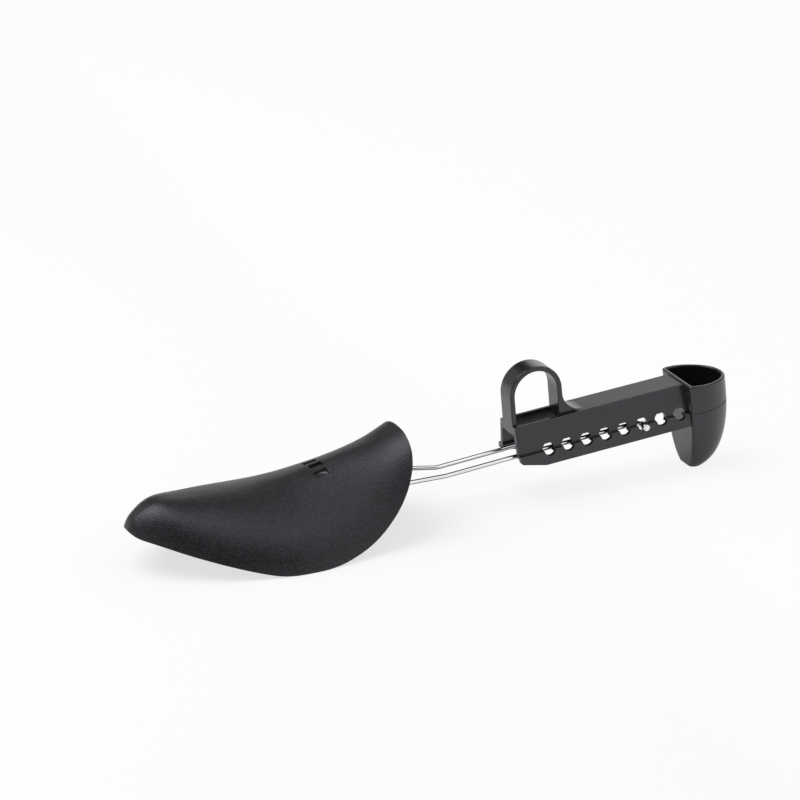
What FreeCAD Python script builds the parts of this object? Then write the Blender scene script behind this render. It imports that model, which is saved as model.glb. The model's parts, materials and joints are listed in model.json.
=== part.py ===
import FreeCAD, Part
import math
import os

Vector = FreeCAD.Vector

# Driving dimensions: millimetres, and degrees where the name says so.
# The frame: toe towards -X, heel towards +X, left side towards -Y, floor at z = 0.
toe_tip_x = -123.55
running_gap = 0.08
joint_gap = 0.1
pick_tolerance = 0.1
overrun = 8.0
half_share = 0.5

# Toe shell: a thin open half-last that rests on its two side lobes.
shell_length = 107.9
shell_wall = 1.6
shell_base_z = -6.0
shell_arch_steps = 14
# Distances behind the toe tip, and the arch there: its half width, its crest height and two powers. The lower
# the power across, the more the crest is a ridge, and the higher the upright power, the fuller the sides.
shell_sections = (
    (-1.6, 5.1, 9.3, 2.2, 2.2),
    (0.0, 7.2, 15.8, 2.2, 2.2),
    (3.5, 11.2, 21.5, 2.2, 2.2),
    (9.5, 16.3, 25.0, 2.2, 2.2),
    (20.0, 23.5, 25.4, 2.15, 2.2),
    (33.0, 29.1, 24.7, 2.05, 2.2),
    (47.0, 32.5, 24.4, 1.8, 2.3),
    (61.0, 33.7, 25.2, 1.6, 2.3),
    (75.0, 32.1, 27.6, 1.57, 2.3),
    (89.0, 29.3, 30.9, 1.64, 2.3),
    (100.0, 26.8, 33.5, 2.1, 2.4),
    (112.0, 24.0, 39.0, 2.75, 2.5),
)
# The lower edge in side view: the front run, the level run on the floor and the rear run.
rim_front_points = (
    (-2.4, 18.6),
    (0.4, 15.5),
    (5.0, 13.5),
    (14.0, 10.75),
    (23.8, 7.6),
    (33.6, 4.5),
    (43.0, 1.75),
    (48.5, 0.5),
)
rim_level_start = 54.0
rim_level_end = 64.0
rim_rear_points = (
    (68.0, 0.18),
    (72.5, 0.72),
    (77.5, 1.9),
    (82.5, 3.5),
    (87.4, 5.75),
    (91.5, 8.32),
    (95.1, 11.2),
    (98.3, 14.25),
    (101.0, 17.5),
    (103.4, 21.05),
    (105.5, 25.1),
    (106.9, 28.5),
)
rim_corner_z = 32.0
rim_top_lean = 2.4

# Slots through the crest, with a hook under each that holds the wire's bar.
slot_count = 3
slot_pitch = 5.6
slot_length = 5.2
slot_width = 3.5
slot_from_tip = 75.01
hook_width = 3.0
hook_wall = 1.5
hook_mouth = 1.4
hook_stem = 2.2

# Spring wire: bar, arms, knees, legs and thicker out-turned ends.
wire_diameter = 1.7
bar_z = 19.6
bar_half_length = 13.6
bar_corner_reach = 3.6
knee_before_channel = 28.6
knee_radius = 9.0
knee_height = 3.95
leg_half_spacing = 4.5
pin_hole_index = 5
pin_behind_hole = 0.4
pin_height = 4.95
pin_bend_radius = 2.2
pin_tip_reach = 11.2
pin_diameter = 2.8
pin_length = 4.2

# Handle: stepped channel, in its own axes along (u), across (v) and up (w) from the channel's front foot.
handle_pitch_degrees = 4.5
channel_front_from_tip = 155.31
channel_front_z = 13.7
channel_length = 72.0
channel_height = 16.6
channel_wall = 1.5
channel_top_thickness = 1.6
upper_half_width = 6.3
shoulder_half_width = 7.8
lower_half_width = 9.8
ledge_height = 5.6
ledge_thickness = 1.2
channel_edge_rounding = 0.6
nose_cut_points = ((0.0, 3.4), (0.8, 2.5), (10.5, 0.0))
lintel_foot_height = 13.0

# Adjusting holes through both sides of the channel.
hole_count = 8
hole_pitch = 8.0
hole_diameter = 4.6
first_hole = 12.6
hole_height = 5.75

# Finger loop on the front of the channel's top.
loop_band_width = 9.0
loop_band_thickness = 2.0
loop_outer_radius = 10.9
loop_height = 21.8
loop_heel_radius = 8.4
loop_edge_rounding = 0.5

# Heel cup: a D-shaped bowl, open at the top, with a small flat foot on the floor.
cup_wall = 1.5
cup_floor_wall = 2.6
cup_half_width = 12.2
cup_depth = 20.0
cup_drop = 38.4
cup_front_lean = 1.7
cup_front_sweep = 0.5
cup_front_sweep_power = 10
cup_bulge_share = 0.012
cup_width_power = 2.6
cup_depth_power = 2.65
cup_section_shares = (0.0, 0.18, 0.36, 0.54, 0.7, 0.83, 0.92, 0.96, 0.985)
cup_back_turn_shares = (-0.6, -0.3, 0.0, 0.3, 0.6)
cup_back_power = 0.7
cup_rim_rise = 0.6
cup_rim_fall_degrees = 5.0
cup_edge_rounding = 0.5
cup_corner_rounding = 2.2
parting_line_height = 5.4
parting_line_width = 0.5
parting_line_depth = 0.15

# Worked out from the above.
wire_radius = wire_diameter * half_share
bar_x = toe_tip_x + slot_from_tip
channel_front_x = toe_tip_x + channel_front_from_tip
handle_pitch = math.radians(handle_pitch_degrees)
along_y = Vector(0, 1, 0)


def on_handle(u, v, w):
    """Place a point of the handle's own axes in the part's frame."""
    x = channel_front_x + u * math.cos(handle_pitch) - w * math.sin(handle_pitch)
    z = channel_front_z + u * math.sin(handle_pitch) + w * math.cos(handle_pitch)
    return Vector(x, v, z)


def seat_handle(shape):
    """Turn and move a shape made in the handle's own axes to its place."""
    seated = shape.copy()
    seated.rotate(Vector(0, 0, 0), along_y, -handle_pitch_degrees)
    seated.translate(Vector(channel_front_x, 0, channel_front_z))
    return seated


def closed_face(edges):
    """One flat face inside a closed run of edges."""
    return Part.Face(Part.Wire(Part.__sortEdges__(edges)))


def polygon_face(points):
    """One flat face inside a polygon."""
    return Part.Face(Part.makePolygon(list(points) + [points[0]]))


def side_prism(face, half_width):
    """A face drawn in side view, swept to the same reach on both sides."""
    placed = face.copy()
    placed.translate(Vector(0, -half_width, 0))
    return placed.extrude(Vector(0, half_width + half_width, 0))


def block(low, high):
    """A box between two corners."""
    size = high - low
    return Part.makeBox(size.x, size.y, size.z, low)


def arch_wire(x, half_width, crest_z, across_power, upright_power, base_z):
    """One closed arch across the shell, a superellipse on a flat base."""
    points = []
    for step in range(shell_arch_steps + 1):
        turn = math.pi * step / shell_arch_steps
        across = math.copysign(abs(math.cos(turn)) ** (2 / across_power), math.cos(turn))
        rise = abs(math.sin(turn)) ** (2 / upright_power)
        points.append(Vector(x, half_width * across, base_z + (crest_z - base_z) * rise))
    points[-1].z = base_z
    points[0].z = base_z
    arch = Part.BSplineCurve()
    arch.interpolate(points)
    base = Part.LineSegment(points[-1], points[0])
    return Part.Wire([arch.toShape(), base.toShape()])


def shell_form(inset):
    """The solid last that the shell's outside, or with an inset its inside, follows."""
    squeeze = (shell_length - inset) / shell_length
    wires = []
    for distance, half_width, crest_z, across_power, upright_power in shell_sections:
        x = toe_tip_x + shell_length - (shell_length - distance) * squeeze
        base_z = shell_base_z - inset
        wire = arch_wire(x, half_width - inset, crest_z - inset, across_power, upright_power, base_z)
        wires.append(wire)
    return Part.makeLoft(wires, True, False)


def shell_side_face():
    """The shell's side view: all that lies above its lower edge and before its rear edge."""
    def place(distance, z):
        return Vector(toe_tip_x + distance, 0, z)
    level_start = place(rim_level_start, 0)
    level_end = place(rim_level_end, 0)
    corner = place(shell_length, rim_corner_z)
    front = Part.BSplineCurve()
    front_points = [place(*point) for point in rim_front_points] + [level_start]
    front.interpolate(front_points)
    rear = Part.BSplineCurve()
    rear_points = [level_end] + [place(*point) for point in rim_rear_points] + [corner]
    rear.interpolate(rear_points)
    top_z = shell_sections[-1][2] + overrun
    top_rear = Vector(corner.x + rim_top_lean, 0, top_z)
    top_front = Vector(front_points[0].x, 0, top_z)
    outline = [
        front.toShape(),
        Part.LineSegment(level_start, level_end).toShape(),
        rear.toShape(),
        Part.LineSegment(corner, top_rear).toShape(),
        Part.LineSegment(top_rear, top_front).toShape(),
        Part.LineSegment(top_front, front_points[0]).toShape(),
    ]
    return closed_face(outline)


def slot_places():
    """The place across the shell of each slot."""
    middle = (slot_count - 1) * half_share
    return [(index - middle) * slot_pitch for index in range(slot_count)]


def slot_cutter(y):
    """The box that opens one slot through the crest."""
    low = Vector(bar_x - slot_length * half_share, y - slot_width * half_share, bar_z)
    high = Vector(bar_x + slot_length * half_share, y + slot_width * half_share, bar_z + shell_length)
    return block(low, high)


def hook(y, skin):
    """One hook: a stem down from the shell's skin and a lip that curls under the bar."""
    bore_radius = wire_radius + running_gap
    ring_radius = bore_radius + hook_wall
    low_y = y - hook_width * half_share
    centre = Vector(bar_x, low_y, bar_z)
    ring = Part.makeCylinder(ring_radius, hook_width, centre, along_y)
    slot_front_x = bar_x - slot_length * half_share
    stem_low = Vector(slot_front_x - hook_stem, low_y, bar_z - bore_radius)
    stem_high = Vector(slot_front_x, low_y + hook_width, bar_z + shell_length)
    bridge_high = Vector(bar_x, low_y + hook_width, bar_z + bore_radius)
    stem = block(stem_low, stem_high).common(skin).fuse(block(stem_low, bridge_high))
    mouth_low = Vector(bar_x, low_y - overrun, bar_z + bore_radius - hook_mouth)
    mouth_size = Vector(ring_radius + overrun, hook_width + overrun + overrun, ring_radius + overrun)
    curl = ring.cut(block(mouth_low, mouth_low + mouth_size)).fuse(stem)
    bore_start = Vector(bar_x, low_y - overrun, bar_z)
    return curl.cut(Part.makeCylinder(bore_radius, hook_width + overrun + overrun, bore_start, along_y))


def toe_shell():
    """The thin toe shell with its slots and hooks."""
    outer = shell_form(0)
    side = side_prism(shell_side_face(), shell_length)
    trimmed = outer.common(side)
    shell = trimmed.cut(shell_form(shell_wall))
    for y in slot_places():
        shell = shell.cut(slot_cutter(y))
    for y in slot_places():
        shell = shell.fuse(hook(y, outer))
    return shell.removeSplitter()


def bend(before, corner, after, radius):
    """The start, middle and end of the tangent arc that rounds a corner of a route."""
    back = (before - corner).normalize()
    ahead = (after - corner).normalize()
    half_turn = back.getAngle(ahead) * half_share
    reach = radius / math.tan(half_turn)
    inward = (back + ahead).normalize()
    centre = corner + inward * (radius / math.sin(half_turn))
    return corner + back * reach, centre - inward * radius, corner + ahead * reach


def wire_solid(points, radii):
    """Round wire along straight runs joined by tangent arcs."""
    edges = []
    start = points[0]
    for index, radius in enumerate(radii, start=1):
        arc_start, arc_middle, arc_end = bend(points[index - 1], points[index], points[index + 1], radius)
        edges.append(Part.LineSegment(start, arc_start).toShape())
        edges.append(Part.Arc(arc_start, arc_middle, arc_end).toShape())
        start = arc_end
    edges.append(Part.LineSegment(start, points[-1]).toShape())
    route = Part.Wire(edges)
    heading = points[1] - points[0]
    rim = Part.Wire([Part.makeCircle(wire_radius, points[0], heading)])
    sweep = Part.BRepOffsetAPI.MakePipeShell(route)
    sweep.add(rim)
    sweep.build()
    sweep.makeSolid()
    return sweep.shape()


def wire_bar():
    """The bar that turns in the hooks, between its two rounded corners."""
    half_length = bar_half_length - bar_corner_reach
    start = Vector(bar_x, -half_length, bar_z)
    return Part.makeCylinder(wire_radius, half_length + half_length, start, along_y)


def wire_arm(side):
    """One side of the wire: the bar's corner, the arm, the knee, the leg and the thicker end."""
    bar_end = bar_half_length - bar_corner_reach + joint_gap
    start = Vector(bar_x, side * bar_end, bar_z)
    corner = Vector(bar_x, side * bar_half_length, bar_z)
    knee = on_handle(-knee_before_channel, side * leg_half_spacing, knee_height)
    pin_u = first_hole + pin_hole_index * hole_pitch + pin_behind_hole
    pin_corner = on_handle(pin_u, side * leg_half_spacing, pin_height)
    pin_tip = on_handle(pin_u, side * pin_tip_reach, pin_height)
    turn = Vector(0, -side, 0).getAngle(knee - corner)
    corner_reach = bar_corner_reach - joint_gap - joint_gap
    corner_radius = corner_reach * math.tan(turn * half_share)
    route = [start, corner, knee, pin_corner, pin_tip]
    wire = wire_solid(route, [corner_radius, knee_radius, pin_bend_radius])
    pin_start = on_handle(pin_u, side * (pin_tip_reach - pin_length), pin_height)
    pin = Part.makeCylinder(pin_diameter * half_share, pin_length, pin_start, along_y * side)
    return wire.fuse(pin).removeSplitter()


def on_outer_corner(edge):
    """Whether an edge runs along the outside of the channel's top or ledge."""
    box = edge.BoundBox
    across = max(abs(box.YMin), abs(box.YMax))
    at_top = box.ZMin > channel_height - pick_tolerance
    at_ledge = across > lower_half_width - pick_tolerance and box.ZMin > ledge_height - pick_tolerance
    return box.XLength > channel_length and (at_top or at_ledge)


def channel():
    """The stepped channel, open below, with its adjusting holes."""
    upper_inner = upper_half_width - channel_wall
    shoulder_inner = shoulder_half_width - channel_wall
    lower_inner = lower_half_width - channel_wall
    ledge_under = ledge_height - ledge_thickness
    half_outline = (
        (lower_half_width, 0),
        (lower_half_width, ledge_height),
        (shoulder_half_width, ledge_height),
        (upper_half_width, channel_height),
    )
    half_hollow = (
        (upper_inner, channel_height - channel_top_thickness),
        (shoulder_inner, ledge_under),
        (lower_inner, ledge_under),
        (lower_inner, 0),
    )
    right_side = [Vector(0, v, w) for v, w in half_outline]
    left_side = [Vector(0, -v, w) for v, w in reversed(half_outline)]
    right_hollow = [Vector(0, v, w) for v, w in half_hollow]
    left_hollow = [Vector(0, -v, w) for v, w in reversed(half_hollow)]
    section = polygon_face(right_side + left_side + left_hollow + right_hollow)
    body = section.extrude(Vector(channel_length + cup_wall, 0, 0))
    body = rounded(body, channel_edge_rounding, on_outer_corner)
    return body.cut(nose_cutter()).cut(top_opening())


def nose_cutter():
    """The slanting cut under the channel's front end."""
    foot = [Vector(u, 0, w) for u, w in nose_cut_points]
    below = -overrun
    outline = [Vector(below, 0, foot[0].z)] + foot + [Vector(foot[-1].x, 0, below), Vector(below, 0, below)]
    return side_prism(polygon_face(outline), lower_half_width + overrun)


def hole_cutters():
    """The round holes through both sides of the channel."""
    reach = lower_half_width + overrun
    cutters = []
    for index in range(hole_count):
        start = Vector(first_hole + index * hole_pitch, -reach, hole_height)
        cutters.append(Part.makeCylinder(hole_diameter * half_share, reach + reach, start, along_y))
    return Part.makeCompound(cutters)


def loop_outline(inset):
    """The loop's side view: its front leg, round top and a heel that sweeps into the channel's top."""
    radius = loop_outer_radius - inset
    crown_w = channel_height + loop_height - loop_outer_radius
    front = Vector(inset, 0, crown_w)
    crown = Vector(loop_outer_radius, 0, crown_w + radius)
    rear = Vector(loop_outer_radius + radius, 0, crown_w)
    foot_w = channel_height - channel_top_thickness
    front_foot = Vector(inset, 0, foot_w)
    edges = [Part.LineSegment(front_foot, front).toShape(), Part.Arc(front, crown, rear).toShape()]
    if inset:
        rear_foot = Vector(rear.x, 0, foot_w)
        edges.append(Part.LineSegment(rear, rear_foot).toShape())
    else:
        heel_start = Vector(rear.x, 0, channel_height + loop_heel_radius)
        heel_end = Vector(rear.x + loop_heel_radius, 0, channel_height)
        heel_centre = Vector(heel_end.x, 0, heel_start.z)
        sag = loop_heel_radius * math.sqrt(half_share)
        heel_middle = heel_centre + Vector(-sag, 0, -sag)
        rear_foot = Vector(heel_end.x, 0, foot_w)
        edges.append(Part.LineSegment(rear, heel_start).toShape())
        edges.append(Part.Arc(heel_start, heel_middle, heel_end).toShape())
        edges.append(Part.LineSegment(heel_end, rear_foot).toShape())
    edges.append(Part.LineSegment(rear_foot, front_foot).toShape())
    return closed_face(edges)


def rounded(shape, radius, wanted):
    """A shape with those of its edges rounded that pass a test."""
    return shape.makeFillet(radius, [edge for edge in shape.Edges if wanted(edge)])


def on_band_side(edge):
    """Whether an edge runs along one side of the loop's band, above the channel's top."""
    reach = loop_band_width * half_share - pick_tolerance
    box = edge.BoundBox
    outward = box.YMin > reach or box.YMax < -reach
    return outward and box.ZMax > channel_height


def finger_loop():
    """The loop's band, with the lintel that its front leg makes across the channel's mouth."""
    half_band = loop_band_width * half_share
    finger_way = side_prism(loop_outline(loop_band_thickness), half_band + overrun)
    band = side_prism(loop_outline(0), half_band).cut(finger_way)
    band = rounded(band, loop_edge_rounding, on_band_side)
    inner = upper_half_width - channel_wall
    lintel_low = Vector(0, -inner, lintel_foot_height)
    lintel_high = Vector(loop_band_thickness, inner, channel_height)
    return band.fuse(block(lintel_low, lintel_high))


def top_opening():
    """The way down from the loop into the channel, through the channel's top."""
    inner = upper_half_width - channel_wall
    opening_end = loop_outer_radius + loop_outer_radius - loop_band_thickness
    low = Vector(loop_band_thickness, -inner, channel_height - channel_top_thickness - overrun)
    high = Vector(opening_end, inner, channel_height + overrun)
    return block(low, high)


def cup_section(fall_share, inset):
    """One D-shaped section of the cup with rounded corners, a given share of its drop below the rim."""
    drop = cup_drop - (cup_floor_wall if inset else 0)
    w = channel_height + cup_rim_rise + overrun - (drop + overrun) * fall_share
    below = max(0, (channel_height + cup_rim_rise - w) / drop)
    half_width = cup_half_width * (1 - below ** cup_width_power) ** (1 / cup_width_power) - inset
    bulge = cup_bulge_share * math.sin(math.pi * below)
    sweep = cup_front_sweep * below ** cup_front_sweep_power
    fullness = (1 - below ** cup_depth_power) ** (1 / cup_depth_power) + bulge
    depth = cup_depth * fullness - sweep - inset
    front = channel_length + cup_front_lean * below + sweep + inset
    corner = cup_corner_rounding - inset
    corner_cut = corner * (1 - math.sqrt(half_share))
    near_corner = ((0, half_width - corner), (corner_cut, half_width - corner_cut), (corner, half_width))
    back_reach = depth - inset
    points = [Vector(front + u, -v, w) for u, v in near_corner]
    for turn_share in cup_back_turn_shares:
        turn = turn_share * math.pi * half_share
        back_u = front + back_reach * math.cos(turn) ** cup_back_power
        points.append(Vector(back_u, half_width * math.sin(turn), w))
    points += [Vector(front + u, v, w) for u, v in reversed(near_corner)]
    back = Part.BSplineCurve()
    back.interpolate(points)
    return Part.Wire([back.toShape(), Part.LineSegment(points[-1], points[0]).toShape()])


def cup_form(inset):
    """The solid bowl that the cup's outside, or with an inset its inside, follows."""
    return Part.makeLoft([cup_section(share, inset) for share in cup_section_shares], True, False)


def rim_cutter():
    """All that lies above the cup's rim, which falls a little towards the back."""
    reach = cup_depth + overrun
    front = Vector(channel_length, 0, channel_height + cup_rim_rise)
    fall = reach * math.tan(math.radians(cup_rim_fall_degrees))
    lead = overrun * math.tan(math.radians(cup_rim_fall_degrees))
    outline = [
        front + Vector(-overrun, 0, lead),
        front + Vector(reach, 0, -fall),
        front + Vector(reach, 0, reach),
        front + Vector(-overrun, 0, reach),
    ]
    return side_prism(polygon_face(outline), cup_half_width + overrun)


def floor_cutter():
    """All that lies below the floor, under the handle."""
    low = Vector(channel_front_x, -cup_half_width - overrun, -overrun)
    high = Vector(channel_front_x + channel_length + cup_depth + overrun, cup_half_width + overrun, 0)
    return block(low, high)


def on_rim(edge):
    """Whether an edge lies in the plane of the cup's rim."""
    fall = math.tan(math.radians(cup_rim_fall_degrees))
    for share in (0, half_share, 1):
        point = edge.valueAt(edge.FirstParameter + (edge.LastParameter - edge.FirstParameter) * share)
        rim_w = channel_height + cup_rim_rise - (point.x - channel_length) * fall
        if abs(point.z - rim_w) > pick_tolerance:
            return False
    return True


def parting_line():
    """The shallow groove round the cup's outside, behind its flat front."""
    reach = cup_half_width + overrun
    low = Vector(channel_length + cup_wall, -reach, parting_line_height)
    high = Vector(channel_length + cup_depth + overrun, reach, parting_line_height + parting_line_width)
    return cup_form(0).cut(cup_form(parting_line_depth)).common(block(low, high))


def heel_cup():
    """The hollow cup with its rounded rim and its parting line."""
    bowl = cup_form(0).cut(rim_cutter()).cut(cup_form(cup_wall))
    return rounded(bowl, cup_edge_rounding, on_rim).cut(parting_line())


def handle():
    """The handle as one moulding: channel, finger loop and heel cup."""
    body = channel().fuse(finger_loop()).cut(hole_cutters())
    body = body.cut(cup_form(cup_wall)).fuse(heel_cup())
    seated = seat_handle(body).cut(floor_cutter())
    return seated.removeSplitter()


def main():
    """Build every piece and write it."""
    os.makedirs("parts", exist_ok=True)
    pieces = {
        "toe_shell": toe_shell(),
        "wire_bar": wire_bar(),
        "wire_arm_left": wire_arm(-1),
        "wire_arm_right": wire_arm(1),
        "handle": handle(),
    }
    for name, shape in pieces.items():
        box = shape.BoundBox
        print(name, shape.isValid(), len(shape.Solids), round(shape.Volume), box)
        shape.exportStep("parts/" + name + ".step")


main()
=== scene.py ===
import json
import logging
import math
from dataclasses import dataclass, field
from enum import Enum
from typing import Iterable, Sequence

import bmesh
import bpy
from mathutils import Matrix, Quaternion, Vector


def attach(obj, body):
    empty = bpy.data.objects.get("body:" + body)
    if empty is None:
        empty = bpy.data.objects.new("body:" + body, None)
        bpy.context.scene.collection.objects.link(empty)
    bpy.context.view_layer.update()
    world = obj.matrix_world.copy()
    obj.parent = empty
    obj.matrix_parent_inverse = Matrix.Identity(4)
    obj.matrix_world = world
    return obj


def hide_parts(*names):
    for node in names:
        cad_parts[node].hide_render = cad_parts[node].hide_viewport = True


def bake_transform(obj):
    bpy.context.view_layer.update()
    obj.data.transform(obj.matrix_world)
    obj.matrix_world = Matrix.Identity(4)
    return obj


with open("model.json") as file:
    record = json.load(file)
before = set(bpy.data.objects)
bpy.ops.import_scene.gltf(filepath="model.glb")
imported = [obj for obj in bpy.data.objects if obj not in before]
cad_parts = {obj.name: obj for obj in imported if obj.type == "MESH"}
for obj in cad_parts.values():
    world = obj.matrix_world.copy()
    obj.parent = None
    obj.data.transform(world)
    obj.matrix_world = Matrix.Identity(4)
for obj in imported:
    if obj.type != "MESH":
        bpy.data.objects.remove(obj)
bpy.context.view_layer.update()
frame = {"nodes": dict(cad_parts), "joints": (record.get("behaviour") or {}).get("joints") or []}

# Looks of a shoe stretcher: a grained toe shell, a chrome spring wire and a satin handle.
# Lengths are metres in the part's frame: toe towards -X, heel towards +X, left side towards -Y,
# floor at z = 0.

LOG = logging.getLogger("shoe_stretcher")
QUARTER_TURN = math.pi / 2
ACROSS = Vector((0.0, 1.0, 0.0))
UP = Vector((0.0, 0.0, 1.0))

Colour = tuple[float, float, float]
Point = tuple[float, float, float]


class Body(Enum):
    """The moving bodies that pieces ride on."""

    HANDLE = "handle"
    WIRE = "wire"
    WIRE_LEFT = "wire_left"
    WIRE_RIGHT = "wire_right"
    TOE = "toe"


class Slot(Enum):
    """The record's material slots."""

    SHELL = "shell_plastic"
    HANDLE = "handle_plastic"
    WIRE = "spring_chrome"


class Side(Enum):
    """The two sides of the stretcher, as the sign of y."""

    LEFT = -1
    RIGHT = 1


class SmoothLine:
    """A natural cubic spline through given points, read by their first coordinate."""

    def __init__(self, points: Sequence[Sequence[float]]) -> None:
        """Fit the spline.

        Args:
            points: Rows of a rising first coordinate and one or more values.
        """
        self.places = [row[0] for row in points]
        self.columns = [list(column) for column in zip(*(row[1:] for row in points))]
        self.bends = [self._bends(column) for column in self.columns]

    def _bends(self, column: Sequence[float]) -> list[float]:
        """Find the second derivatives of one value.

        Args:
            column: The value at each point.

        Returns:
            The second derivative at each point, zero at both ends.
        """
        count = len(column)
        spans = [self.places[i + 1] - self.places[i] for i in range(count - 1)]
        upper = [0.0] * count
        target = [0.0] * count
        for i in range(1, count - 1):
            turn = (column[i + 1] - column[i]) / spans[i] - (column[i] - column[i - 1]) / spans[i - 1]
            pivot = 2 * (spans[i - 1] + spans[i]) - spans[i - 1] * upper[i - 1]
            upper[i] = spans[i] / pivot
            target[i] = (6 * turn - spans[i - 1] * target[i - 1]) / pivot
        bends = [0.0] * count
        for i in range(count - 2, 0, -1):
            bends[i] = target[i] - upper[i] * bends[i + 1]
        return bends

    def at(self, place: float) -> list[float]:
        """Read the spline.

        Args:
            place: The first coordinate.

        Returns:
            One number for each value of the points.
        """
        passed = sum(1 for known in self.places if known <= place)
        i = min(len(self.places) - 2, max(0, passed - 1))
        span = self.places[i + 1] - self.places[i]
        after = (place - self.places[i]) / span
        before = 1 - after
        found = []
        for column, bends in zip(self.columns, self.bends):
            line = before * column[i] + after * column[i + 1]
            bow = (before**3 - before) * bends[i] + (after**3 - after) * bends[i + 1]
            found.append(line + bow * span**2 / 6)
        return found


class Graph:
    """Adds nodes and links to one node tree."""

    def __init__(self, tree: bpy.types.NodeTree) -> None:
        """Hold the tree, emptied of its first nodes."""
        self.tree = tree
        self.tree.nodes.clear()

    def add(self, kind: str, inputs: dict | None = None, **settings: object) -> bpy.types.Node:
        """Add one node.

        Args:
            kind: Blender's name of the node type.
            inputs: Values or source sockets by the input's name or index.
            **settings: Properties of the node itself.

        Returns:
            The new node.
        """
        node = self.tree.nodes.new(kind)
        for name, value in settings.items():
            setattr(node, name, value)
        for name, value in (inputs or {}).items():
            if isinstance(value, bpy.types.NodeSocket):
                self.tree.links.new(value, node.inputs[name])
            else:
                node.inputs[name].default_value = value
        return node

    def maths(self, operation: str, first: object, second: object = 0.0) -> bpy.types.NodeSocket:
        """Add a maths node and return its result."""
        node = self.add("ShaderNodeMath", {0: first, 1: second}, operation=operation)
        return node.outputs[0]

    def spread(
        self, value: bpy.types.NodeSocket, low: float, high: float, start: float = 0.0, full: float = 1.0
    ) -> bpy.types.NodeSocket:
        """Map a value to a range.

        Args:
            value: The value to map.
            low: The result up to the start.
            high: The result from the full value on.
            start: Where the value starts to count.
            full: Where it counts in full.

        Returns:
            The result.
        """
        ends = {"From Min": start, "From Max": full, "To Min": low, "To Max": high}
        return self.add("ShaderNodeMapRange", {"Value": value, **ends}).outputs["Result"]

    def noise(self, where: bpy.types.NodeSocket, scale: object, detail: float) -> bpy.types.NodeSocket:
        """Add a noise node and return its value."""
        return self.add("ShaderNodeTexNoise", {"Vector": where, "Scale": scale, "Detail": detail}).outputs[0]


def opaque(colour: Colour) -> tuple[float, float, float, float]:
    """A colour with full alpha."""
    return (*colour, 1.0)


def new_group(name: str, inputs: Iterable[tuple[str, str]], outputs: Iterable[str]) -> Graph:
    """Start a shader node group.

    Args:
        name: The group's name.
        inputs: Pairs of a socket's name and its type.
        outputs: Names of the float sockets that the group puts out.

    Returns:
        The group's empty graph.
    """
    tree = bpy.data.node_groups.new(name, "ShaderNodeTree")
    for socket, kind in inputs:
        tree.interface.new_socket(socket, in_out="INPUT", socket_type=kind)
    for socket in outputs:
        tree.interface.new_socket(socket, in_out="OUTPUT", socket_type="NodeSocketFloat")
    return Graph(tree)


class SharedEffects:
    """Shader node groups that more than one finish uses."""

    PIT_SMOOTHNESS = 0.6
    FINE_PER_CELL = 2.3
    FINE_DETAIL = 2.0
    FINE_SHARE = 0.45
    FLECKS_PER_CELL = 0.55
    FLECK_DETAIL = 3.0
    FLECK_STARTS = 0.38
    FLECK_FULL = 0.72
    PATCH_DETAIL = 4.0
    RUB_STRETCH = (0.12, 1.0, 1.4)
    RUBS_PER_PATCH = 30.0
    RUB_DETAIL = 2.0
    RUB_STARTS = 0.62
    RUB_FULL = 0.74

    def __init__(self) -> None:
        """Build each group once."""
        self.grain = self._grain()
        self.handling = self._handling()

    def _grain(self) -> bpy.types.NodeTree:
        """Fine pits of a spark-eroded mould, as a height and a mask of the raised flecks.

        Returns:
            The finished group.
        """
        graph = new_group(
            "spark_eroded_grain",
            (("Vector", "NodeSocketVector"), ("Cells", "NodeSocketFloat")),
            ("Height", "Fleck"),
        )
        source = graph.add("NodeGroupInput")
        where = source.outputs["Vector"]
        cells = source.outputs["Cells"]
        pits = graph.add("ShaderNodeTexVoronoi", {"Vector": where, "Scale": cells}, feature="SMOOTH_F1")
        pits.inputs["Smoothness"].default_value = self.PIT_SMOOTHNESS
        fine = graph.noise(where, graph.maths("MULTIPLY", cells, self.FINE_PER_CELL), self.FINE_DETAIL)
        height = graph.add(
            "ShaderNodeMix", {"Factor": self.FINE_SHARE, "A": pits.outputs["Distance"], "B": fine}
        )
        flecks = graph.noise(where, graph.maths("MULTIPLY", cells, self.FLECKS_PER_CELL), self.FLECK_DETAIL)
        mask = graph.spread(flecks, 0.0, 1.0, self.FLECK_STARTS, self.FLECK_FULL)
        graph.add("NodeGroupOutput", {"Height": height.outputs["Result"], "Fleck": mask})
        return graph.tree

    def _handling(self) -> bpy.types.NodeTree:
        """Broad patches of flow and touch, and sparse thin rubs, both as masks.

        Returns:
            The finished group.
        """
        graph = new_group(
            "handling_marks",
            (("Vector", "NodeSocketVector"), ("Patches", "NodeSocketFloat")),
            ("Patch", "Rub"),
        )
        source = graph.add("NodeGroupInput")
        where = source.outputs["Vector"]
        patches = source.outputs["Patches"]
        patch = graph.noise(where, patches, self.PATCH_DETAIL)
        stretched = graph.add("ShaderNodeMapping", {"Vector": where, "Scale": self.RUB_STRETCH})
        rub_cells = graph.maths("MULTIPLY", patches, self.RUBS_PER_PATCH)
        rubs = graph.noise(stretched.outputs[0], rub_cells, self.RUB_DETAIL)
        mask = graph.spread(rubs, 0.0, 1.0, self.RUB_STARTS, self.RUB_FULL)
        graph.add("NodeGroupOutput", {"Patch": patch, "Rub": mask})
        return graph.tree


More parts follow.
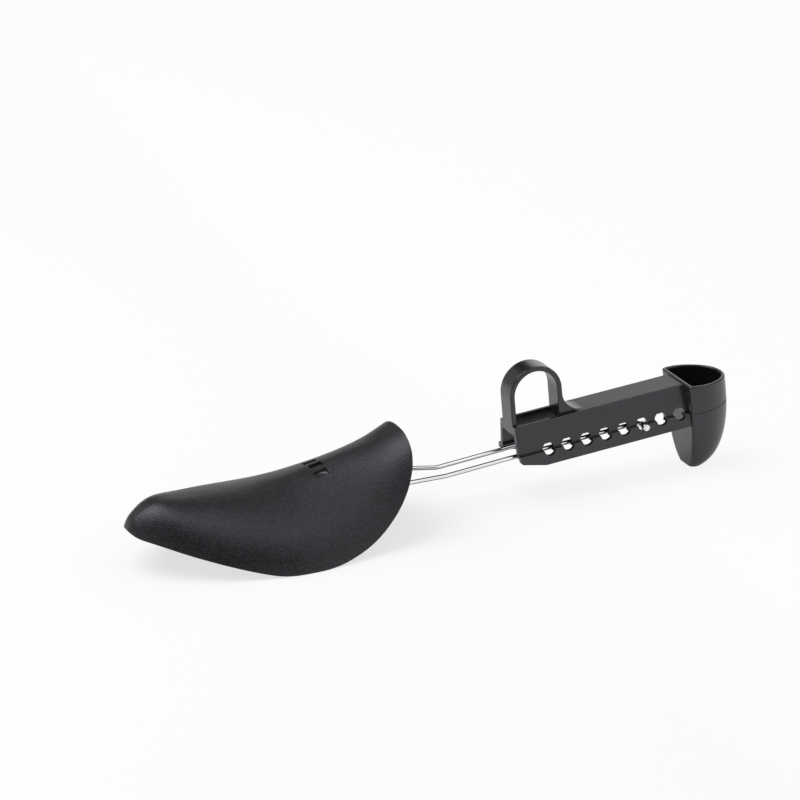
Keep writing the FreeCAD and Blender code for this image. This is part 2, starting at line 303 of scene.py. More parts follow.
@dataclass(frozen=True)
class PlasticFinish:
    """Dyed moulded plastic with a spark-eroded grain."""

    name: str
    deep: Colour
    fleck: Colour
    scuff: Colour
    smooth: float
    rough: float
    specular: float
    cells: float
    grain_depth: float
    patches: float
    gloss_tint: Colour = (0.92, 0.92, 1.0)

    def material(self, effects: SharedEffects) -> bpy.types.Material:
        """Build the material.

        Args:
            effects: The shared node groups.

        Returns:
            The finished material.
        """
        made = bpy.data.materials.new(self.name)
        made.use_nodes = True
        graph = Graph(made.node_tree)
        where = graph.add("ShaderNodeTexCoord").outputs["Object"]
        grain = graph.add("ShaderNodeGroup", node_tree=effects.grain)
        graph.tree.links.new(where, grain.inputs["Vector"])
        grain.inputs["Cells"].default_value = self.cells
        marks = graph.add("ShaderNodeGroup", node_tree=effects.handling)
        graph.tree.links.new(where, marks.inputs["Vector"])
        marks.inputs["Patches"].default_value = self.patches
        tint = graph.add("ShaderNodeMix", {"Factor": grain.outputs["Fleck"]}, data_type="RGBA")
        tint.inputs["A"].default_value = opaque(self.deep)
        tint.inputs["B"].default_value = opaque(self.fleck)
        worn = graph.add(
            "ShaderNodeMix", {"Factor": marks.outputs["Rub"], "A": tint.outputs["Result"]}, data_type="RGBA"
        )
        worn.inputs["B"].default_value = opaque(self.scuff)
        rough = graph.spread(marks.outputs["Patch"], self.smooth, self.rough)
        bump = graph.add("ShaderNodeBump", {"Height": grain.outputs["Height"], "Strength": 1.0})
        bump.inputs["Distance"].default_value = self.grain_depth
        shader = graph.add(
            "ShaderNodeBsdfPrincipled",
            {
                "Base Color": worn.outputs["Result"],
                "Roughness": rough,
                "Specular IOR Level": self.specular,
                "Specular Tint": opaque(self.gloss_tint),
                "Normal": bump.outputs["Normal"],
            },
        )
        graph.add("ShaderNodeOutputMaterial", {"Surface": shader.outputs[0]})
        return made


@dataclass(frozen=True)
class ChromeFinish:
    """Bright plated spring wire with fine drawing lines and two painted dark reflection lines along its run.
    """

    name: str = "bright_chrome"
    bright: Colour = (0.84, 0.84, 0.86)
    painted_dark_colour: Colour = (0.16, 0.16, 0.19)
    # Where the painted dark reflection lines lie round the section: the direction of their middle,
    # the shares where they start and are full, and how far they waver.
    painted_dark_side: Point = (0.0, 0.40, 0.92)
    painted_dark_starts: float = 0.34
    painted_dark_full: float = 0.76
    smooth: float = 0.05
    rough: float = 0.16
    waver: float = 0.2
    lines: float = 5.0
    line_stretch: Point = (12.0, 1.0, 1.0)
    line_detail: float = 3.0
    line_depth: float = 4e-6

    def material(self) -> bpy.types.Material:
        """Build the material.

        Returns:
            The finished material.
        """
        made = bpy.data.materials.new(self.name)
        made.use_nodes = True
        graph = Graph(made.node_tree)
        run = graph.add("ShaderNodeAttribute", attribute_name=SpringWire.RUN_LAYER)
        drawn = graph.add("ShaderNodeMapping", {"Vector": run.outputs["Vector"], "Scale": self.line_stretch})
        lines = graph.noise(drawn.outputs[0], self.lines, self.line_detail)
        rough = graph.spread(lines, self.smooth, self.rough)
        bump = graph.add("ShaderNodeBump", {"Height": lines, "Strength": 1.0})
        bump.inputs["Distance"].default_value = self.line_depth
        # Painted dark reflection: two dark lines along the wire's edges, set by place round the section,
        # stand in for the dim room mirrored in the chrome.
        round_share = graph.add("ShaderNodeVectorMath", {0: run.outputs["Vector"]}, operation="DOT_PRODUCT")
        round_share.inputs[1].default_value = self.painted_dark_side
        wavering = graph.spread(lines, -self.waver, self.waver)
        outward = graph.maths("ADD", graph.maths("ABSOLUTE", round_share.outputs["Value"]), wavering)
        painted_dark_mask = graph.add(
            "ShaderNodeMapRange",
            {"Value": outward, "From Min": self.painted_dark_starts, "From Max": self.painted_dark_full},
            interpolation_type="SMOOTHSTEP",
        )
        plating_and_painted_dark = graph.add("ShaderNodeMix", {"Factor": painted_dark_mask.outputs["Result"]}, data_type="RGBA")
        plating_and_painted_dark.inputs["A"].default_value = opaque(self.bright)
        plating_and_painted_dark.inputs["B"].default_value = opaque(self.painted_dark_colour)
        shader = graph.add(
            "ShaderNodeBsdfPrincipled",
            {"Base Color": plating_and_painted_dark.outputs["Result"], "Metallic": 1.0, "Roughness": rough},
        )
        graph.tree.links.new(bump.outputs["Normal"], shader.inputs["Normal"])
        graph.add("ShaderNodeOutputMaterial", {"Surface": shader.outputs[0]})
        return made


def new_piece(
    name: str, mesh: bmesh.types.BMesh, material: bpy.types.Material
) -> bpy.types.Object:
    """Turn a finished bmesh into a piece of the object.

    Args:
        name: The piece's name.
        mesh: The shape in the part's frame, which is freed.
        material: The finish.

    Returns:
        The new object, at the origin.
    """
    data = bpy.data.meshes.new(name)
    mesh.to_mesh(data)
    mesh.free()
    data.materials.append(material)
    piece = bpy.data.objects.new(name, data)
    bpy.context.scene.collection.objects.link(piece)
    return piece


def shade(mesh: bmesh.types.BMesh, sharp_degrees: float) -> None:
    """Shade every face smooth, but keep sharp edges crisp.

    Args:
        mesh: The mesh to shade.
        sharp_degrees: The angle from which an edge is sharp.
    """
    limit = math.radians(sharp_degrees)
    for face in mesh.faces:
        face.smooth = True
    for edge in mesh.edges:
        edge.smooth = edge.is_manifold and edge.calc_face_angle(0.0) < limit


@dataclass
class ToeShell:
    """The open half-last: a thin arched skin with a rounded edge, three slots and their hooks."""

    finish: bpy.types.Material
    origin_x: float = -0.12355
    tip_trim: float = 0.00006
    inset: float = 0.000002
    floor_gap: float = 0.000001
    base_z: float = -0.006
    wall: float = 0.0016
    edge_round: float = 0.0007
    slot_round: float = 0.0002
    # Distance behind the tip, then half width, crest height and the arch's powers across and upright.
    arches: tuple = (
        (-0.0016, 0.0051, 0.0093, 2.2, 2.2),
        (0.0000, 0.0072, 0.0158, 2.2, 2.2),
        (0.0035, 0.0112, 0.0215, 2.2, 2.2),
        (0.0095, 0.0163, 0.0250, 2.2, 2.2),
        (0.0200, 0.0235, 0.0254, 2.15, 2.2),
        (0.0330, 0.0291, 0.0247, 2.05, 2.2),
        (0.0470, 0.0325, 0.0244, 1.8, 2.3),
        (0.0610, 0.0337, 0.0252, 1.6, 2.3),
        (0.0750, 0.0321, 0.0276, 1.57, 2.3),
        (0.0890, 0.0293, 0.0309, 1.64, 2.3),
        (0.1000, 0.0268, 0.0335, 2.1, 2.4),
        (0.1120, 0.0240, 0.0390, 2.75, 2.5),
    )
    # The lower edge in side view, as distance behind the tip and height.
    front_edge: tuple = (
        (-0.0024, 0.01860),
        (0.0004, 0.01550),
        (0.0050, 0.01350),
        (0.0140, 0.01075),
        (0.0238, 0.00760),
        (0.0336, 0.00450),
        (0.0430, 0.00175),
        (0.0485, 0.00050),
        (0.0540, 0.00000),
    )
    rear_edge: tuple = (
        (0.0640, 0.00000),
        (0.0680, 0.00018),
        (0.0725, 0.00072),
        (0.0775, 0.00190),
        (0.0825, 0.00350),
        (0.0874, 0.00575),
        (0.0915, 0.00832),
        (0.0951, 0.01120),
        (0.0983, 0.01425),
        (0.1010, 0.01750),
        (0.1034, 0.02105),
        (0.1055, 0.02510),
        (0.1069, 0.02850),
        (0.1079, 0.03200),
    )
    crest_end: float = 0.1086
    front_turn: float = 0.009
    slot_length: float = 0.0052
    slot_width: float = 0.0035
    slot_pitch: float = 0.0056
    slot_count: int = 3
    front_columns: int = 64
    slot_columns: int = 6
    rear_columns: int = 56
    # Powers that crowd the columns towards the tip and the rear rim, and that lead them round the nose.
    front_ease: float = 1.25
    rear_ease: float = 1.5
    nose_ease: float = 3.0
    side_rows: int = 40
    tip_halvings: int = 40
    rounding_steps: int = 4
    round_profile: float = 0.5
    crisp_degrees: float = 50.0
    hook_width: float = 0.003
    hook_bore: float = 0.00093
    hook_stem: float = 0.0022
    hook_bend: float = 0.0036
    hook_lip: float = 0.0022
    hook_turn_degrees: float = 156.0
    hook_steps: int = 8
    hook_taper: float = 0.6
    hook_round: float = 0.0003
    # How far each section of the stem lies above the bar, and how far its rear face stands in front of it.
    hook_drops: tuple = ((0.0022, 0.0026), (0.001, 0.0019))
    bar: Vector = field(default_factory=lambda: joint_place("toe_pivot"))

    def __post_init__(self) -> None:
        """Fit the smooth lines that the skin follows."""
        self.arch = SmoothLine(self.arches)
        self.front = SmoothLine(self.front_edge)
        self.rear = SmoothLine(self.rear_edge)
        self.bar_behind_tip = self.bar.x - self.origin_x

    def edge_height(self, distance: float) -> float:
        """Find the height of the lower edge.

        Args:
            distance: How far behind the tip.

        Returns:
            The height above the floor.
        """
        if distance < self.front_edge[-1][0]:
            return self.front.at(distance)[0]
        if distance > self.rear_edge[0][0]:
            return self.rear.at(distance)[0]
        return 0.0

    def edge_turn(self, distance: float) -> float:
        """Find the angle round the arch from the crest to the lower edge.

        Args:
            distance: How far behind the tip.

        Returns:
            The angle in radians.
        """
        _, crest, _, upright = self.arch.at(distance)
        rise = (self.edge_height(distance) - self.base_z) / (crest - self.base_z)
        return math.acos(min(1.0, max(0.0, rise)) ** (upright / 2))

    def on_skin(self, distance: float, turn: float) -> Vector:
        """Find a point of the outer skin.

        Args:
            distance: How far behind the tip.
            turn: Signed angle round the arch from the crest.

        Returns:
            The point in the part's frame.
        """
        half_width, crest, sideways, upright = self.arch.at(distance)
        across = math.copysign(abs(math.sin(turn)) ** (2 / sideways), turn)
        rise = max(0.0, math.cos(turn)) ** (2 / upright)
        height = self.base_z + (crest - self.base_z) * rise
        return Vector((self.origin_x + distance, (half_width - self.inset) * across, height))

    def tip(self) -> float:
        """Find where the crest line meets the lower edge, by halving.

        Returns:
            The distance behind the origin of the arches' distances.
        """
        low, high = self.arches[0][0], self.arches[2][0]
        for _ in range(self.tip_halvings):
            middle = (low + high) / 2
            if self.arch.at(middle)[1] < self.edge_height(middle):
                low = middle
            else:
                high = middle
        return high + self.tip_trim

    def columns(self) -> list[tuple[float, float]]:
        """Set the grid's columns.

        Returns:
            For each column, where it starts on the crest and where it ends on the lower edge.
        """
        slot_front = self.bar_behind_tip - self.slot_length / 2
        slot_rear = self.bar_behind_tip + self.slot_length / 2
        tip = self.tip()
        runs = []
        for step in range(self.front_columns):
            share = step / self.front_columns
            eased = share**self.front_ease
            crest = tip + (slot_front - tip) * eased
            runs.append((crest, self.front_turn + (slot_front - self.front_turn) * share))
        for step in range(self.slot_columns):
            place = slot_front + self.slot_length * step / self.slot_columns
            runs.append((place, place))
        for step in range(self.rear_columns + 1):
            share = 1 - (1 - step / self.rear_columns) ** self.rear_ease
            crest = slot_rear + (self.crest_end - slot_rear) * share
            runs.append((crest, slot_rear + (self.rear_edge[-1][0] - slot_rear) * share))
        return runs

    def rows(self) -> list[float]:
        """Set the grid's rows.

        Returns:
            Shares of the way from the crest to the lower edge, with rows along each slot's sides.
        """
        half_width, _, sideways, _ = self.arch.at(self.bar_behind_tip)
        reach = self.edge_turn(self.bar_behind_tip)
        half = self.slot_width / 2
        sides = [0.0, half]
        for index in range(1, self.slot_count // 2 + 1):
            middle = index * self.slot_pitch
            sides += [middle - half, middle, middle + half]
        shares = []
        for place, after in zip(sides, sides[1:]):
            for part in (place, (place + after) / 2):
                shares.append(math.asin((part / half_width) ** (sideways / 2)) / reach)
        last = math.asin((sides[-1] / half_width) ** (sideways / 2)) / reach
        shares += [last + (1 - last) * step / self.side_rows for step in range(self.side_rows + 1)]
        return shares

    def skin(self) -> bmesh.types.BMesh:
        """Lay a grid over the last and open the slots.

        Returns:
            The outer skin, one face thick.
        """
        columns = self.columns()
        rows = self.rows()
        mesh = bmesh.new()
        across = len(rows) - 1
        bmesh.ops.create_grid(mesh, x_segments=len(columns) - 1, y_segments=2 * across, size=1)
        tip = columns[0][0]
        front_reach = self.edge_turn(self.front_turn)
        for vert in mesh.verts:
            column = round((vert.co.x + 1) / 2 * (len(columns) - 1))
            row = round(vert.co.y * across)
            share = rows[abs(row)]
            crest, edge = columns[column]
            place = crest + (edge - crest) * share**2
            nose = self.edge_turn(tip + (self.front_turn - tip) * share**2) / front_reach
            pull = max(0.0, 1 - column / self.front_columns) ** self.nose_ease
            turn = self.edge_turn(edge) * (share + (nose - share) * pull)
            vert.co = self.on_skin(place, math.copysign(turn, row))
        slots = [face for face in mesh.faces if self.in_slot(face.calc_center_median())]
        bmesh.ops.delete(mesh, geom=slots, context="FACES")
        bmesh.ops.recalc_face_normals(mesh, faces=mesh.faces)
        if sum(face.normal.z for face in mesh.faces) < 0:
            bmesh.ops.reverse_faces(mesh, faces=mesh.faces)
        return mesh

    def in_slot(self, place: Vector, margin: float = 0.0) -> bool:
        """Tell whether a place lies in a slot.

        Args:
            place: The place in the part's frame.
            margin: How far the slots' outlines are widened.

        Returns:
            True where it does.
        """
        if abs(place.x - self.bar.x) > self.slot_length / 2 + margin or place.z < self.bar.z:
            return False
        middle = (self.slot_count - 1) / 2
        offsets = [(index - middle) * self.slot_pitch for index in range(self.slot_count)]
        return any(abs(place.y - offset) < self.slot_width / 2 + margin for offset in offsets)

    def thicken(self, mesh: bmesh.types.BMesh) -> None:
        """Give the skin its wall, and round the lower edge and the slots' mouths.

        Args:
            mesh: The skin, which is changed.
        """
        bmesh.ops.solidify(mesh, geom=mesh.faces[:], thickness=self.wall)
        for vert in mesh.verts:
            vert.co.z = max(self.floor_gap, vert.co.z)
        mesh.normal_update()
        corners = [edge for edge in mesh.edges if edge.calc_face_angle(0.0) > QUARTER_TURN / 2]
        mouths = [
            edge for edge in corners
            if all(self.in_slot(vert.co, self.slot_round) for vert in edge.verts)
        ]
        rims = [edge for edge in corners if edge not in set(mouths)]
        self.soften(mesh, mouths, self.slot_round)
        self.soften(mesh, [edge for edge in rims if edge.is_valid], self.edge_round)

    def soften(self, mesh: bmesh.types.BMesh, edges: list, offset: float) -> None:
        """Round a run of edges.

        Args:
            mesh: The mesh that holds them.
            edges: The edges.
            offset: How far from each edge the rounding starts.
        """
        bmesh.ops.bevel(
            mesh,
            geom=edges,
            offset=offset,
            offset_type="OFFSET",
            affect="EDGES",
            segments=self.rounding_steps,
            profile=self.round_profile,
            material=-1,
            clamp_overlap=True,
        )

    def hook_section(self, inner: Vector, outer: Vector, offset: float) -> Matrix:
        """Place a unit square as one section of a hook.

        Args:
            inner: Middle of the side that faces the bar, from the bar's middle line.
            outer: Middle of the other side.
            offset: How far the hook stands across from the shell's middle.

        Returns:
            The square's transform.
        """
        deep = outer - inner
        wide = ACROSS * self.hook_width
        middle = self.bar + (inner + outer) / 2 + ACROSS * offset
        columns = (deep, wide, deep.cross(wide).normalized() * self.hook_width)
        return Matrix.Translation(middle) @ Matrix(columns).transposed().to_4x4()

    def hook_sections(self, offset: float) -> list[Matrix]:
        """Place one hook's sections, from its root inside the skin to its lip behind the bar.

        Args:
            offset: How far the hook stands across from the shell's middle.

        Returns:
            The sections' transforms, in order.
        """
        rear = self.slot_length / 2
        half_width, _, sideways, _ = self.arch.at(self.bar_behind_tip - rear)
        turn = math.asin((abs(offset) / half_width) ** (sideways / 2))
        root = self.on_skin(self.bar_behind_tip - rear, turn).z - self.wall / 2 - self.bar.z
        places = []
        for height, back in ((root, rear), *self.hook_drops):
            inner = Vector((-back, 0.0, height))
            places.append((inner, Vector((-rear - self.hook_stem, 0.0, height))))
        for step in range(self.hook_steps + 1):
            share = step / self.hook_steps
            angle = math.radians(self.hook_turn_degrees) * share
            away = Vector((-math.cos(angle), 0.0, -math.sin(angle)))
            reach = self.hook_bend + (self.hook_lip - self.hook_bend) * share**self.hook_taper
            places.append((away * self.hook_bore, away * reach))
        return [self.hook_section(inner, outer, offset) for inner, outer in places]

    def add_hook(self, mesh: bmesh.types.BMesh, offset: float) -> None:
        """Grow one hook, section by section, from its root in the skin.

        Args:
            mesh: The shell's mesh, which gets the hook.
            offset: How far the hook stands across from the shell's middle.
        """
        sections = self.hook_sections(offset)
        made = bmesh.ops.create_grid(mesh, x_segments=1, y_segments=1, size=0.5, matrix=sections[0])
        grown = set(made["verts"])
        last = next(iter(made["verts"][0].link_faces))
        for before, after in zip(sections, sections[1:]):
            made = bmesh.ops.extrude_face_region(mesh, geom=[last, *last.edges])
            last = next(item for item in made["geom"] if isinstance(item, bmesh.types.BMFace))
            bmesh.ops.transform(mesh, matrix=after @ before.inverted(), verts=last.verts)
            grown |= set(last.verts)
        faces = {face for vert in grown for face in vert.link_faces}
        bmesh.ops.recalc_face_normals(mesh, faces=list(faces))
        edges = {edge for face in faces for edge in face.edges}
        corners = [edge for edge in edges if edge.calc_face_angle(0.0) > QUARTER_TURN / 2]
        self.soften(mesh, corners, self.hook_round)

    def build(self) -> bpy.types.Object:
        """Model the shell.

        Returns:
            The finished piece.
        """
        mesh = self.skin()
        self.thicken(mesh)
        for index in range(self.slot_count):
            self.add_hook(mesh, (index - (self.slot_count - 1) / 2) * self.slot_pitch)
        shade(mesh, self.crisp_degrees)
        return new_piece("toe_shell_moulding", mesh, self.finish)

    def dress(self) -> bpy.types.Object:
        """Build the piece, let it stand for its solid and seat it on its body.

        Returns:
            The dressed piece.
        """
        piece = self.build()
        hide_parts("toe_shell")
        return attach(piece, Body.TOE.value)


def joint_place(name: str) -> Vector:
    """The place of one of the record's joints."""
    return Vector(next(joint["pos_m"] for joint in frame["joints"] if joint["name"] == name))


def slide_pitch() -> float:
    """The angle by which the handle climbs towards the heel, from the slide's axis."""
    axis = next(joint["axis"] for joint in frame["joints"] if joint["name"] == "length_slide")
    return math.atan2(-axis[2], -axis[0])


class TubeSweep:
    """A round tube that grows ring by ring along straight runs and arcs."""

    CAP_RIM = 0.00005

    def __init__(
        self, start: Vector, heading: Vector, radius: float, sides: int, layer: str
    ) -> None:
        """Make the first ring.

        Args:
            start: The middle of the first ring.
            heading: The direction in which the tube starts.
            radius: The tube's radius.
            sides: Faces round the tube.
            layer: Name of the vertex layer that holds the distance run and the place in the section.
        """
        self.mesh = bmesh.new()
        self.layer = self.mesh.verts.layers.float_vector.new(layer)
        self.end = start.copy()
        self.heading = heading.normalized()
        self.radius = radius
        self.distance = 0.0
        turn = self.heading.to_track_quat("Z", "Y").to_matrix().to_4x4()
        made = bmesh.ops.create_circle(
            self.mesh, cap_ends=False, segments=sides, radius=radius, matrix=Matrix.Translation(start) @ turn
        )
        self.first = made["verts"]
        sideways = UP.cross(self.heading)
        for vert in self.first:
            offset = (vert.co - start) / radius
            vert[self.layer] = Vector((0.0, offset.dot(sideways), offset.dot(UP)))
        self.ring = self._edges_of(self.first)

    def _edges_of(self, verts: Iterable) -> list:
        """The edges that join a ring's own vertices."""
        members = set(verts)
        return [edge for edge in self.mesh.edges if set(edge.verts) <= members]

    def _grow(self, length: float, **turn: object) -> None:
        """Add one ring.

        Args:
            length: How far the middle line runs in this step.
            **turn: What the spin operator needs.
        """
        made = bmesh.ops.spin(self.mesh, geom=self.ring, steps=1, use_duplicate=False, **turn)
        self.ring = [item for item in made["geom_last"] if isinstance(item, bmesh.types.BMEdge)]
        self.distance += length
        for vert in {vert for edge in self.ring for vert in edge.verts}:
            vert[self.layer].x = self.distance

    def run_to(self, point: Vector, step: float) -> None:
        """Grow straight to a point.

        Args:
            point: Where the run ends.
            step: The length of a step, about.
        """
        way = point - self.end
        count = max(1, round(way.length / step))
        for _ in range(count):
            self._grow(way.length / count, cent=self.end, axis=UP, angle=0.0, dvec=way / count)
        self.end = point.copy()
        self.heading = way.normalized()

    def turn_to(self, heading: Vector, bend_radius: float, steps: int) -> None:
        """Grow round an arc until the tube points along a new heading.

        Args:
            heading: The new direction.
            bend_radius: The arc's radius at the middle line.
            steps: Rings along the arc.
        """
        axis = self.heading.cross(heading).normalized()
        angle = self.heading.angle(heading)
        centre = self.end + axis.cross(self.heading) * bend_radius
        for _ in range(steps):
            length = bend_radius * angle / steps
            self._grow(length, cent=centre, axis=axis, angle=angle / steps, dvec=Vector())
        turned = Quaternion(axis, angle)
        self.end = centre + turned @ (self.end - centre)
        self.heading = heading.normalized()

    def swell(self, length: float, radius: float) -> None:
        """Grow a short way straight on, to a new radius.

        Args:
            length: How far.
            radius: The radius at the end.
        """
        way = self.heading * length
        self._grow(length, cent=self.end, axis=UP, angle=0.0, dvec=way)
        self.end = self.end + way
        rim = list({vert for edge in self.ring for vert in edge.verts})
        growth = Vector((radius / self.radius,) * 3)
        bmesh.ops.scale(self.mesh, verts=rim, vec=growth, space=Matrix.Translation(-self.end))
        self.radius = radius

    def thick_end(self, radius: float, length: float, chamfer: float) -> None:
        """Grow a thicker round end with broken edges.

        Args:
            radius: The end's radius.
            length: The end's length.
            chamfer: How far its edges are broken.
        """
        self.swell(0.0, radius - chamfer)
        self.swell(chamfer, radius)
        self.swell(length - 2 * chamfer, radius)
        self.swell(chamfer, radius - chamfer)

    def close(self) -> bmesh.types.BMesh:
        """Cap both ends, the last with a middle that no painted dark reflection line crosses.

        Returns:
            The closed mesh.
        """
        cap = bmesh.ops.edgeloop_fill(self.mesh, edges=self.ring)["faces"]
        bmesh.ops.inset_individual(self.mesh, faces=cap, thickness=self.CAP_RIM)
        for vert in cap[0].verts:
            vert[self.layer] = Vector((self.distance, 0.0, 0.0))
        bmesh.ops.edgeloop_fill(self.mesh, edges=self._edges_of(self.first))
        bmesh.ops.recalc_face_normals(self.mesh, faces=self.mesh.faces)
        return self.mesh


@dataclass
class SpringWire:
    """The bent wire: a bar in the hooks, two arms, two knees, two legs and two thicker ends."""

    RUN_LAYER = "wire_run"

    finish: bpy.types.Material
    radius: float = 0.00085
    sides: int = 32
    bar_half_length: float = 0.0136
    corner_reach: float = 0.0036
    knee_before_channel: float = 0.0286
    knee_radius: float = 0.009
    knee_height: float = 0.00395
    leg_half_spacing: float = 0.0045
    channel_front: Point = (0.03176, 0.0, 0.0137)
    pin_place: float = 0.053
    pin_height: float = 0.00495
    pin_bend_radius: float = 0.0022
    pin_tip_reach: float = 0.0112
    pin_radius: float = 0.0014
    pin_length: float = 0.0042
    pin_chamfer: float = 0.00015
    ring_step: float = 0.003
    arc_steps: int = 10
    crisp_degrees: float = 60.0
    give_length: float = 0.024
    bar: Vector = field(default_factory=lambda: joint_place("toe_pivot"))

    def on_handle(self, along: float, across: float, up: float) -> Vector:
        """Find a point of the handle's own frame.

        Args:
            along: How far behind the channel's front foot.
            across: How far to the right of the middle.
            up: How far above the foot, square to the channel.

        Returns:
            The point in the part's frame.
        """
        pitch = slide_pitch()
        forward = Vector((math.cos(pitch), 0.0, math.sin(pitch)))
        upward = Vector((-math.sin(pitch), 0.0, math.cos(pitch)))
        return Vector(self.channel_front) + forward * along + ACROSS * across + upward * up

    def build(self, side: Side) -> bpy.types.Object:
        """Model one half of the wire, from the bar's middle to its end.

        Args:
            side: Which half.

        Returns:
            The finished piece.
        """
        sign = side.value
        middle = self.bar.copy()
        route = [
            middle,
            self.bar + ACROSS * (sign * self.bar_half_length),
            self.on_handle(-self.knee_before_channel, sign * self.leg_half_spacing, self.knee_height),
            self.on_handle(self.pin_place, sign * self.leg_half_spacing, self.pin_height),
            self.on_handle(self.pin_place, sign * self.pin_tip_reach, self.pin_height),
        ]
        first_turn = (route[1] - route[0]).angle(route[2] - route[1])
        corner_radius = self.corner_reach / math.tan(first_turn / 2)
        radii = (corner_radius, self.knee_radius, self.pin_bend_radius)
        tube = TubeSweep(middle, route[1] - route[0], self.radius, self.sides, self.RUN_LAYER)
        for before, corner, after, bend_radius in zip(route, route[1:], route[2:], radii):
            heading = (after - corner).normalized()
            turn = (corner - before).angle(heading)
            reach = bend_radius * math.tan(turn / 2)
            tube.run_to(corner - (corner - before).normalized() * reach, self.ring_step)
            tube.turn_to(heading, bend_radius, self.arc_steps)
        tube.run_to(route[-1] - tube.heading * self.pin_length, self.ring_step)
        tube.thick_end(self.pin_radius, self.pin_length, self.pin_chamfer)
        mesh = tube.close()
        shade(mesh, self.crisp_degrees)
        name = "spring_wire_" + side.name.lower()
        return new_piece(name, mesh, self.finish)

    def dress(self) -> None:
        """Build both halves, which stand in for the wire's solids."""
        arms = {Side.LEFT: Body.WIRE_LEFT, Side.RIGHT: Body.WIRE_RIGHT}
        for side, arm in arms.items():
            piece = self.build(side)
            nodes = ["wire_arm_" + side.name.lower()]
            if side is Side.LEFT:
                nodes.append("wire_bar")
            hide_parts(*nodes)
            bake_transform(piece)
            LOG.info("%s bends into body %s", piece.name, arm.value)


@dataclass
class Handle:
    """The satin handle: stepped channel, finger loop and heel cup in one moulding."""

    finish: bpy.types.Material

    def dress(self) -> bpy.types.Object:
        """Give the handle's solid its finish.

        Returns:
            The handle's node.
        """
        node = frame["nodes"]["handle"]
        node.data.materials.clear()
        node.data.materials.append(self.finish)
        return node


@dataclass(frozen=True)
class SoftBox:
    """One large soft lamp."""

    name: str
    place: Point
    aim: Point
    width: float
    depth: float
    power: float

    def hang(self) -> None:
        """Add the lamp to the scene."""
        lamp = bpy.data.lights.new(self.name, "AREA")
        lamp.shape = "RECTANGLE"
        lamp.size = self.width
        lamp.size_y = self.depth
        lamp.energy = self.power
        stand = bpy.data.objects.new(self.name, lamp)
        stand.location = self.place
        stand.rotation_mode = "QUATERNION"
        stand.rotation_quaternion = (Vector(self.aim) - Vector(self.place)).to_track_quat("-Z", "Y")
        bpy.context.scene.collection.objects.link(stand)


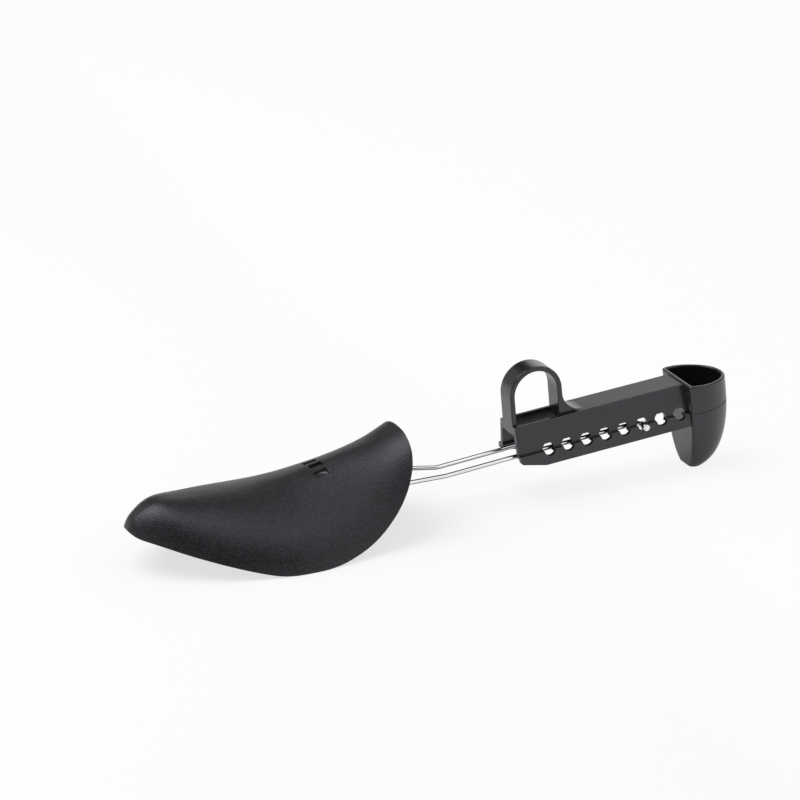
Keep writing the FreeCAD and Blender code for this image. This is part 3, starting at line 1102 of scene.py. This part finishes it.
@dataclass
class Studio:
    """Pale floor, white surroundings, a soft lamp and the camera."""

    camera_place: Point = (-0.50469, -1.1162, 0.5260)
    camera_aim: Point = (-0.01379, 0.0, 0.0473)
    camera_roll_degrees: float = -0.88
    lens: float = 158.5
    sensor: float = 36.0
    floor_reach: float = 6.0
    floor_drop: float = 0.00005
    floor_colour: Colour = (0.96, 0.96, 0.96)
    # Shares of plain white in the floor: seen at the toe and at the heel, and mirrored in front and behind.
    seen_at_toe: float = 0.7
    seen_at_heel: float = 0.87
    heel_starts: float = 0.0
    heel_full: float = 0.08
    mirrored_in_front: float = 0.35
    mirrored_behind: float = 0.9
    behind_starts: float = 0.02
    behind_full: float = 0.06
    sky: float = 0.47
    mirrored_sky: float = 0.45
    # Sides of the room that gloss shows: direction, cosine where each starts and is full, and its level.
    sides: tuple = (
        ((0.26, -0.62, 0.74), 0.70, 0.95, 1.45),
        ((0.28, 0.72, 0.63), 0.80, 0.95, 0.03),
        ((0.50, 0.84, 0.22), 0.94, 0.985, 1.30),
        ((-0.34, -0.84, 0.41), 0.70, 0.88, 0.02),
        ((0.58, -0.78, 0.26), 0.91, 0.97, 0.90),
    )
    boxes: tuple[SoftBox, ...] = (
        SoftBox("window", (-0.69, 0.27, 1.42), (0.0, 0.0, 0.0), 1.1, 1.1, 16.0),
    )

    def white_share(self, graph: Graph) -> bpy.types.NodeSocket:
        """Find how much plain white the floor shows to rays that see or mirror it.

        Args:
            graph: The floor material's graph.

        Returns:
            The share of white.
        """
        path = graph.add("ShaderNodeLightPath")
        seen = graph.maths("MAXIMUM", path.outputs["Is Camera Ray"], path.outputs["Is Transmission Ray"])
        where = graph.add("ShaderNodeTexCoord").outputs["Object"]
        along, across, _ = graph.add("ShaderNodeSeparateXYZ", {0: where}).outputs
        straight = graph.spread(along, self.seen_at_toe, self.seen_at_heel, self.heel_starts, self.heel_full)
        gloss = graph.spread(
            across, self.mirrored_in_front, self.mirrored_behind, self.behind_starts, self.behind_full
        )
        seen_white = graph.maths("MULTIPLY", seen, straight)
        mirrored_white = graph.maths("MULTIPLY", path.outputs["Is Glossy Ray"], gloss)
        return graph.maths("MAXIMUM", seen_white, mirrored_white)

    def towards(self, graph: Graph, side: Point, start: float, full: float) -> bpy.types.NodeSocket:
        """A mask of the world's rays that point to one side.

        Args:
            graph: The world's graph.
            side: The direction of that side.
            start: Cosine to that side at which the mask starts.
            full: Cosine at which it is full.

        Returns:
            The mask.
        """
        ray = graph.add("ShaderNodeTexCoord").outputs["Generated"]
        turned = graph.add("ShaderNodeVectorMath", {0: ray}, operation="DOT_PRODUCT")
        turned.inputs[1].default_value = Vector(side).normalized()
        mask = graph.add(
            "ShaderNodeMapRange",
            {"Value": turned.outputs["Value"], "From Min": start, "From Max": full},
            interpolation_type="SMOOTHSTEP",
        )
        return mask.outputs["Result"]

    def floor(self) -> None:
        """Lay the pale floor, which keeps a soft shadow."""
        mesh = bmesh.new()
        bmesh.ops.create_grid(mesh, x_segments=1, y_segments=1, size=self.floor_reach)
        bmesh.ops.translate(mesh, verts=mesh.verts, vec=-UP * self.floor_drop)
        data = bpy.data.meshes.new("floor")
        mesh.to_mesh(data)
        mesh.free()
        made = bpy.data.materials.new("pale_floor")
        made.use_nodes = True
        graph = Graph(made.node_tree)
        matt = graph.add("ShaderNodeBsdfDiffuse", {"Color": opaque(self.floor_colour)})
        white = graph.add("ShaderNodeEmission", {"Strength": 1.0})
        share = self.white_share(graph)
        mixed = graph.add("ShaderNodeMixShader", {0: share, 1: matt.outputs[0], 2: white.outputs[0]})
        graph.add("ShaderNodeOutputMaterial", {"Surface": mixed.outputs[0]})
        data.materials.append(made)
        floor = bpy.data.objects.new("floor", data)
        bpy.context.scene.collection.objects.link(floor)

    def surroundings(self) -> None:
        """White surroundings that light evenly, with the room's light and dim sides for gloss."""
        world = bpy.data.worlds.new("white_room")
        world.use_nodes = True
        bpy.context.scene.world = world
        graph = Graph(world.node_tree)
        path = graph.add("ShaderNodeLightPath")
        room: float | bpy.types.NodeSocket = self.mirrored_sky
        for side, start, full, side_level in self.sides:
            mask = self.towards(graph, side, start, full)
            blend = graph.add("ShaderNodeMix", {"Factor": mask, "A": room, "B": side_level})
            room = blend.outputs["Result"]
        seen = graph.maths("MAXIMUM", path.outputs["Is Camera Ray"], path.outputs["Is Transmission Ray"])
        mirrored = graph.add(
            "ShaderNodeMix",
            {"Factor": path.outputs["Is Glossy Ray"], "A": self.sky, "B": room},
        )
        level = graph.add("ShaderNodeMix", {"Factor": seen, "A": mirrored.outputs["Result"], "B": 1.0})
        back = graph.add("ShaderNodeBackground", {"Strength": level.outputs["Result"]})
        back.inputs["Color"].default_value = opaque((1.0, 1.0, 1.0))
        graph.add("ShaderNodeOutputWorld", {"Surface": back.outputs[0]})

    def camera(self) -> None:
        """Set the camera at the photograph's viewing angle."""
        data = bpy.data.cameras.new("camera")
        data.lens = self.lens
        data.sensor_width = self.sensor
        camera = bpy.data.objects.new("camera", data)
        place = Vector(self.camera_place)
        facing = (Vector(self.camera_aim) - place).to_track_quat("-Z", "Y")
        camera.location = place
        camera.rotation_mode = "QUATERNION"
        camera.rotation_quaternion = facing @ Quaternion(UP, math.radians(self.camera_roll_degrees))
        bpy.context.scene.collection.objects.link(camera)
        bpy.context.scene.camera = camera

    def set_up(self) -> None:
        """Build the whole studio."""
        self.floor()
        self.surroundings()
        for box in self.boxes:
            box.hang()
        self.camera()
        bpy.context.scene.view_settings.view_transform = "Standard"


def main() -> None:
    """Build the pieces in order and report each one."""
    logging.basicConfig(level=logging.INFO, format="%(name)s: %(message)s")
    effects = SharedEffects()
    shell_finish = PlasticFinish(
        name="grained_charcoal",
        deep=(0.003, 0.003, 0.004),
        fleck=(0.016, 0.016, 0.0195),
        scuff=(0.018, 0.018, 0.021),
        smooth=0.37,
        rough=0.49,
        specular=0.53,
        cells=1500.0,
        grain_depth=0.00013,
        patches=40.0,
    )
    handle_finish = PlasticFinish(
        name="satin_charcoal",
        deep=(0.010, 0.010, 0.0112),
        fleck=(0.013, 0.013, 0.0145),
        scuff=(0.018, 0.018, 0.020),
        smooth=0.2,
        rough=0.32,
        specular=0.73,
        cells=3600.0,
        grain_depth=0.000008,
        patches=60.0,
    )
    shell = ToeShell(shell_finish.material(effects)).dress()
    LOG.info("%s rides on %s", shell.name, Body.TOE.value)
    SpringWire(ChromeFinish().material()).dress()
    grip = Handle(handle_finish.material(effects)).dress()
    LOG.info("%s keeps its solid", grip.name)
    Studio().set_up()


if __name__ == "__main__":
    main()
